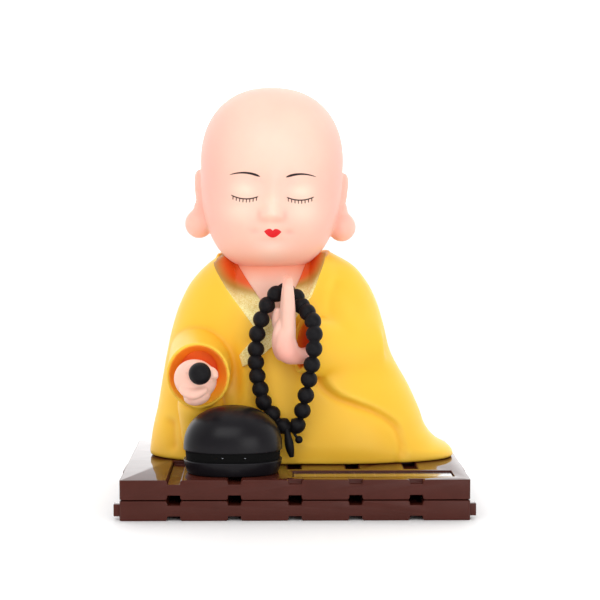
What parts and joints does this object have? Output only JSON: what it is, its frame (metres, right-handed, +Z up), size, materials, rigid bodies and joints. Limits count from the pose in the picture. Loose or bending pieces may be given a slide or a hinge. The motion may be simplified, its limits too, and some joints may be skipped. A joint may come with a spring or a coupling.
{
  "type": "seated monk figurine",
  "caption": "Seated robed monk figurine with a mallet, prayer beads and a wooden fish drum, on a slatted base.",
  "frame": {"origin": "on the floor, under the middle of the base", "axes": "+Z up, the figure's front towards -Y, +X to the right of a viewer who faces it"},
  "size_m": [0.1036, 0.08, 0.1249],
  "materials": {
    "base_plastic": "chocolate brown, glossy deck",
    "solar_cell": "dark, clear-fronted",
    "robe": "satin yellow",
    "skin": "soft satin peach",
    "black_gloss": "satin black",
    "black_matte": "matte black"
  },
  "bodies": {
    "root": {"base_lower_tier": "base_plastic", "base_upper_tier": "base_plastic", "solar_cell": "solar_cell", "wooden_fish": "black_gloss", "robe": "robe", "neck_and_chest": "skin", "head": "skin", "mallet_hand": "skin", "praying_hand": "skin", "mallet": "black_matte", "prayer_beads": "black_matte"}
  },
  "joints": []
}
